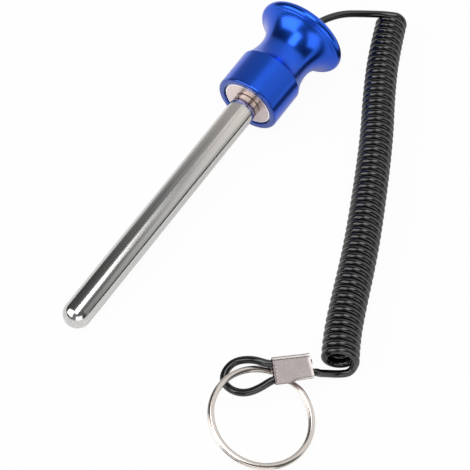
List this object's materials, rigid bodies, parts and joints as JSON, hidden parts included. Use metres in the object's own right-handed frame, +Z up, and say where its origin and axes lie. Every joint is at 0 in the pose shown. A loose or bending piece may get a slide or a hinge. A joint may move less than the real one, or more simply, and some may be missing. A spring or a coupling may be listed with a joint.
{
  "type": "weight stack pin",
  "caption": "Selector pin for a weight stack: a round-nosed steel pin in a flared blue knob with a ring magnet, on a coiled lanyard with a split ring.",
  "frame": {"origin": "on the surface the part lies on, under the middle of the box of the pin and knob, without the lanyard", "axes": "+Z up; +Y along the lying pin, from its round tip to the knob's back; +X to the side where the lanyard lies"},
  "size_m": [0.1034, 0.1812, 0.0317],
  "materials": {
    "pin_steel": "bright polished steel, fine turned marks",
    "blue_anodised": "glossy blue anodised, fine turned marks",
    "magnet_nickel": "bright nickel plate",
    "stop_steel": "plain crimped steel",
    "cord_black": "glossy black flexible plastic",
    "ferrule_sheet": "satin nickel plated sheet",
    "ring_nickel": "polished nickel plated spring wire"
  },
  "bodies": {
    "pin_and_lanyard": {"pin_shaft": "pin_steel", "knob": "blue_anodised", "ring_magnet": "magnet_nickel", "cord_stop": "stop_steel", "cord_lead": "cord_black", "cord_coil": "cord_black", "cord_loop": "cord_black", "crimp_ferrule": "ferrule_sheet"},
    "ring": {"split_ring": "ring_nickel"}
  },
  "joints": [
    {"name": "ring_swing", "type": "hinge", "parent": "pin_and_lanyard", "child": "ring", "pos_m": [0.06528, -0.0535, 0.00771], "axis": [-0.8312, -0.4924, 0.2581], "range_deg": [0, 100]}
  ]
}
